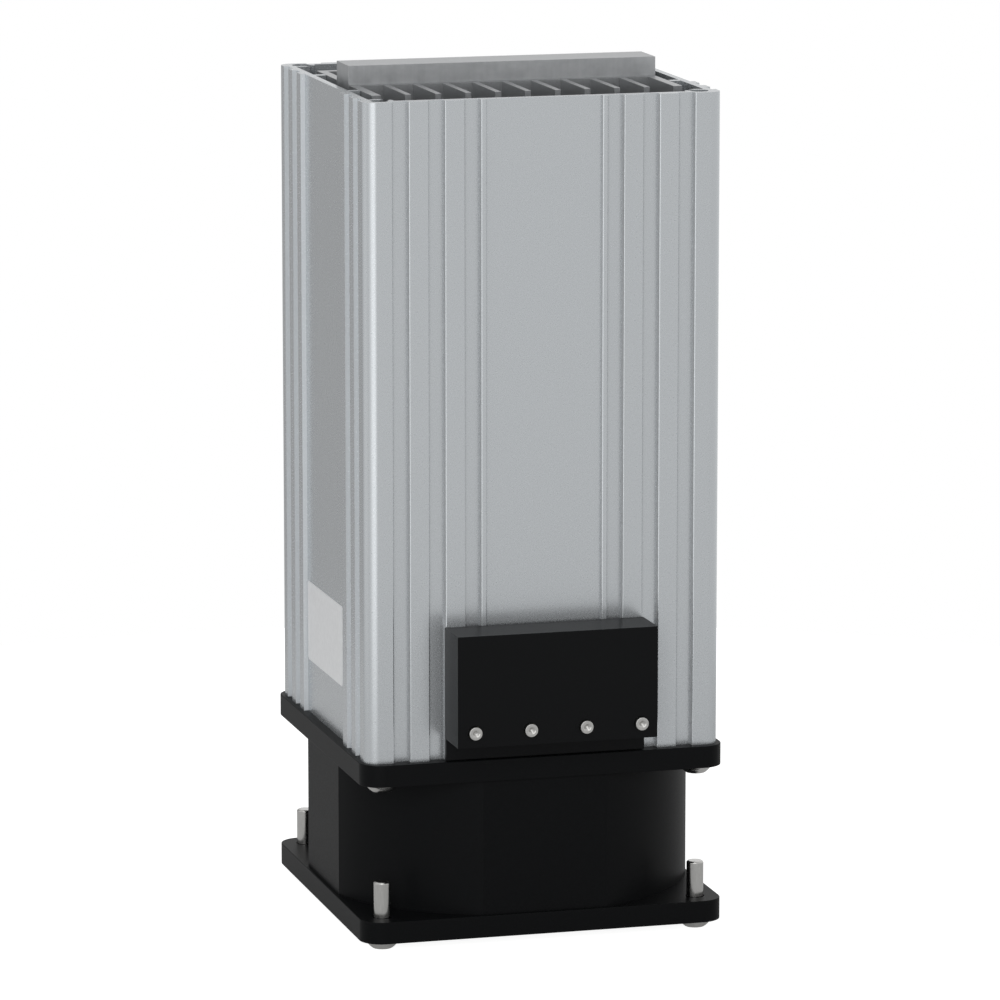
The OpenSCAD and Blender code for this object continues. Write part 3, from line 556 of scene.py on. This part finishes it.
def seen_level(tree, path, mirror_level):
    """One for a ray from the camera, mirror_level for a ray from a mirror or glass, nought for the rest."""
    mirrored = math_node(tree, "MAXIMUM", path["Is Glossy Ray"], path["Is Transmission Ray"])
    dimmed = math_node(tree, "MULTIPLY", mirrored, mirror_level)
    return math_node(tree, "MAXIMUM", path["Is Camera Ray"], dimmed)


def studio_floor():
    """A round pale floor under the screw heads, white to the camera, with the heater's shadow."""
    bpy.ops.object.select_all(action="DESELECT")
    bpy.ops.mesh.primitive_circle_add(
        vertices=FLOOR_SIDES, radius=FLOOR_RADIUS, fill_type="NGON", location=(0, 0, cad_low.z))
    floor = bpy.context.view_layer.objects.active
    floor.name = "studio_floor"
    bpy.ops.object.transform_apply(location=True, rotation=True, scale=True)
    finish = bpy.data.materials.new("studio_floor")
    finish.use_nodes = True
    tree = finish.node_tree
    tree.nodes.clear()
    matt = tree.nodes.new("ShaderNodeBsdfDiffuse")
    matt.inputs["Color"].default_value = FLOOR_COLOUR
    path = tree.nodes.new("ShaderNodeLightPath").outputs
    brightness = math_node(tree, "MULTIPLY", seen_level(tree, path, FLOOR_MIRROR), FLOOR_GLOW)
    glow = tree.nodes.new("ShaderNodeEmission")
    tree.links.new(brightness, glow.inputs["Strength"])
    pale = tree.nodes.new("ShaderNodeAddShader")
    tree.links.new(matt.outputs[0], pale.inputs[0])
    tree.links.new(glow.outputs[0], pale.inputs[1])
    output = tree.nodes.new("ShaderNodeOutputMaterial")
    tree.links.new(pale.outputs[0], output.inputs["Surface"])
    floor.data.materials.append(finish)


def panel_ring(tree):
    """The brightness of the ring of panels in each direction."""
    place = tree.nodes.new("ShaderNodeTexCoord")
    split = tree.nodes.new("ShaderNodeSeparateXYZ")
    tree.links.new(place.outputs["Generated"], split.inputs["Vector"])
    forward = math_node(tree, "MULTIPLY", split.outputs["Y"], -1)
    azimuth = math_node(tree, "ARCTAN2", split.outputs["X"], forward)
    share = tree.nodes.new("ShaderNodeMapRange")
    share.inputs["From Min"].default_value = -math.pi
    share.inputs["From Max"].default_value = math.pi
    tree.links.new(azimuth, share.inputs["Value"])
    ring = tree.nodes.new("ShaderNodeValToRGB")
    stops = ring.color_ramp.elements
    while len(stops) < len(PANEL_RING):
        stops.new(0.5)
    for stop, (degrees, level) in zip(stops, PANEL_RING):
        stop.position = (degrees + 180) / 360
        stop.color = (level, level, level, 1)
    tree.links.new(share.outputs["Result"], ring.inputs["Fac"])
    return math_node(tree, "MULTIPLY", ring.outputs["Color"], PANEL_LEVEL)


def studio_surround():
    """White to the camera, a ring of soft panels to mirrors and an even light for dull pieces."""
    world = bpy.data.worlds.new("studio_surround")
    bpy.context.scene.world = world
    world.use_nodes = True
    tree = world.node_tree
    background = tree.nodes["Background"]
    background.inputs["Color"].default_value = (1, 1, 1, 1)
    path = tree.nodes.new("ShaderNodeLightPath").outputs
    seen = seen_level(tree, path, panel_ring(tree))
    level = math_node(tree, "MULTIPLY_ADD", path["Is Diffuse Ray"], SURROUND_LIGHT, seen)
    tree.links.new(level, background.inputs["Strength"])


def towards(azimuth, elevation):
    """The direction at these angles, in radians from the front rightwards and from the level upwards."""
    return Vector((
        math.sin(azimuth) * math.cos(elevation),
        -math.cos(azimuth) * math.cos(elevation),
        math.sin(elevation),
    ))


def soft_light(name, azimuth, elevation, distance, width, height, power):
    """A large soft lamp that looks at the heater's middle, which mirrors don't show."""
    lamp = bpy.data.lights.new(name, "AREA")
    lamp.shape = "RECTANGLE"
    lamp.size = width
    lamp.size_y = height
    lamp.energy = power
    back = towards(math.radians(azimuth), math.radians(elevation))
    stand = bpy.data.objects.new(name, lamp)
    stand.location = LAMP_AIM + back * distance
    stand.rotation_euler = (-back).to_track_quat("-Z", "Y").to_euler()
    stand.visible_glossy = False
    bpy.context.scene.collection.objects.link(stand)


def photograph_view():
    """The camera at the photograph's place."""
    lens = bpy.data.cameras.new("photograph_view")
    lens.lens = VIEW_LENS
    lens.sensor_width = SENSOR_WIDTH
    camera = bpy.data.objects.new("photograph_view", lens)
    camera.location = VIEW_TARGET + VIEW_DISTANCE * towards(VIEW_AZIMUTH, VIEW_ELEVATION)
    camera.rotation_euler = (math.pi / 2 - VIEW_ELEVATION, 0, VIEW_AZIMUTH)
    bpy.context.scene.collection.objects.link(camera)
    bpy.context.scene.camera = camera


studio_floor()
studio_surround()
for name, setting in SOFTBOXES.items():
    soft_light(name, *setting)
photograph_view()
bpy.context.scene.view_settings.view_transform = "Standard"
